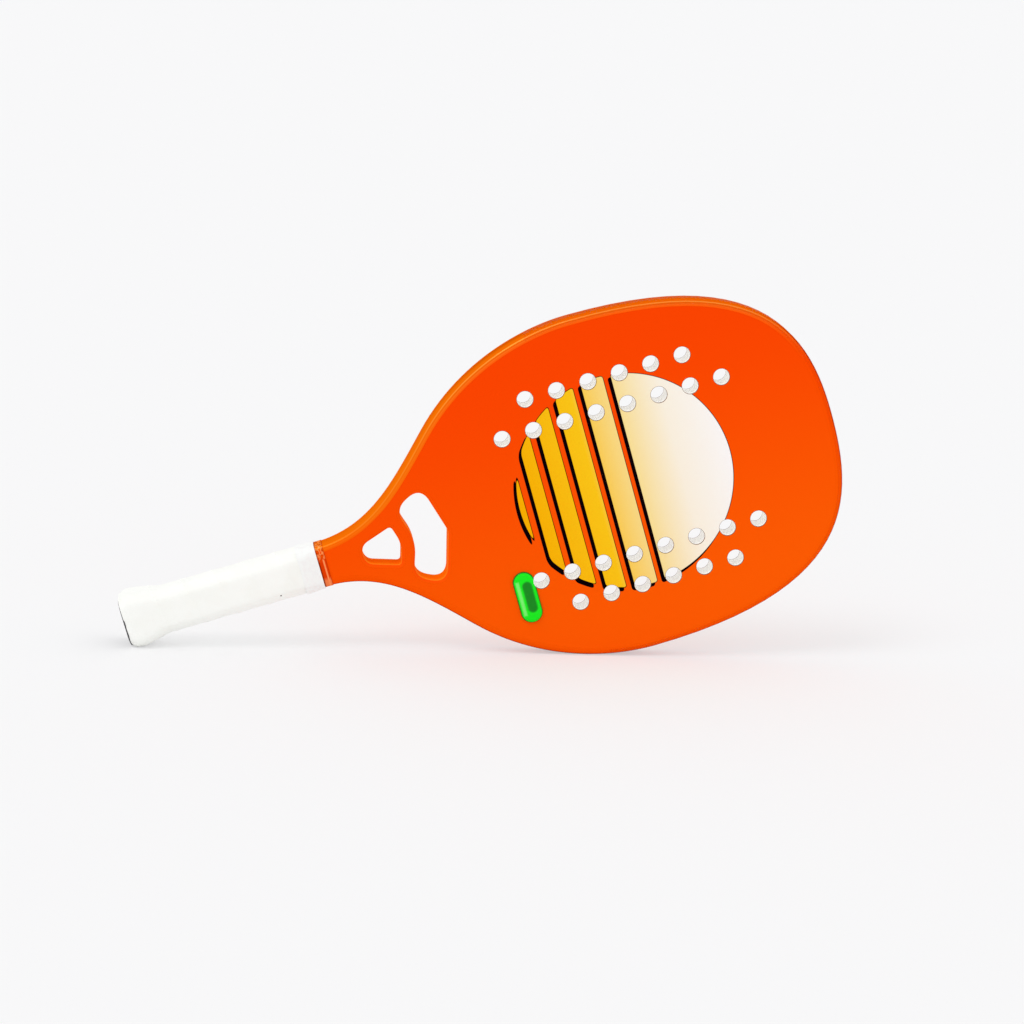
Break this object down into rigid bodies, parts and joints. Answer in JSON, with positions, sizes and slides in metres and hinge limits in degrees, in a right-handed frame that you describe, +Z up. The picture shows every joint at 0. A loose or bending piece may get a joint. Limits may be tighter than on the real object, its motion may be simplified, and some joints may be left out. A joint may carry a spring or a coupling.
{
  "type": "beach tennis racket",
  "caption": "Perforated foam-core racket with a hollow moulded frame, open throat, a white wrapped grip with a flared butt, a clear rim film and a small domed badge.",
  "frame": {"origin": "centre of the bounding box, at its bottom: the level on which the butt's lower corner and the head's lower rim stand", "axes": "+X from the butt towards the head, level with the floor; +Y away from the front face; +Z up"},
  "size_m": [0.4906, 0.0352, 0.2488],
  "materials": {
    "lacquer": "glossy orange-red lacquer over a fibre laminate, with a printed design on the faces",
    "throat_lacquer": "glossy deeper orange lacquer",
    "core_foam": "fine-celled white foam, matte",
    "pallet_foam": "moulded rigid foam, matte",
    "cap_plastic": "moulded dark plastic, satin",
    "staple_steel": "plain steel wire",
    "grip_wrap": "soft white synthetic leather wound in laps, matte with a faint sheen",
    "finishing_tape": "white adhesive tape, satin",
    "clear_film": "clear glossy film, orange from the lacquer under it",
    "badge_label": "printed green label",
    "badge_resin": "clear green domed resin, very glossy"
  },
  "bodies": {
    "root": {"frame_tube": "lacquer", "head_bridge": "throat_lacquer", "heart_bridge": "throat_lacquer", "head_core": "core_foam", "front_skin": "lacquer", "back_skin": "lacquer", "rim_film": "clear_film", "pallet_front": "pallet_foam", "pallet_back": "pallet_foam", "butt_cap": "cap_plastic", "butt_cap_staple_1": "staple_steel", "butt_cap_staple_2": "staple_steel", "butt_cap_staple_3": "staple_steel", "butt_cap_staple_4": "staple_steel", "grip_wrap": "grip_wrap", "finishing_tape": "finishing_tape", "neck_collar": "clear_film", "badge_label": "badge_label", "badge_dome": "badge_resin"}
  },
  "joints": []
}
